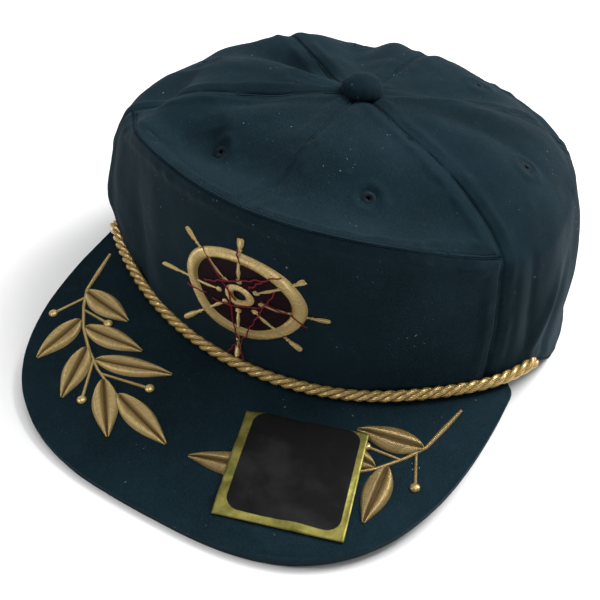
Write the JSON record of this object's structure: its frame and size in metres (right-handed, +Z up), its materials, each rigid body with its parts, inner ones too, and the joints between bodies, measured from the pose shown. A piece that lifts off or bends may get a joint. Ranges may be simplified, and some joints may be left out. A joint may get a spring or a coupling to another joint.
{
  "type": "rope cap",
  "caption": "Cloth cap with a tall structured front, flat bill, twisted cord over the bill, embroidered laurels and ship's wheel, bare foil label and a strap at the back.",
  "frame": {"origin": "middle of the cap's box, on the surface that it rests on", "axes": "+Z up, -Y the way the wearer faces, +X the wearer's left"},
  "size_m": [0.1979, 0.2484, 0.1016],
  "materials": {
    "navy_twill": "dark navy cotton twill with white lint",
    "gold_cord": "three-strand twisted rayon cord, pale gold",
    "gold_thread": "satin-stitch embroidery, pale gold",
    "navy_thread": "stitched eyelets in navy thread",
    "gold_foil": "gold foil label with a dark field",
    "strap_cloth": "navy woven strap"
  },
  "bodies": {
    "root": {"front_panel": "navy_twill", "upper_front_left": "navy_twill", "upper_front_right": "navy_twill", "side_left": "navy_twill", "side_right": "navy_twill", "back_left": "navy_twill", "back_right": "navy_twill", "bill": "navy_twill", "top_button": "navy_twill", "rope": "gold_cord", "laurel_left": "gold_thread", "laurel_right": "gold_thread", "ship_wheel": "gold_thread", "eyelet_1": "navy_thread", "eyelet_2": "navy_thread", "eyelet_3": "navy_thread", "eyelet_4": "navy_thread", "eyelet_5": "navy_thread", "eyelet_6": "navy_thread", "foil_sticker": "gold_foil", "back_strap": "strap_cloth"}
  },
  "joints": []
}
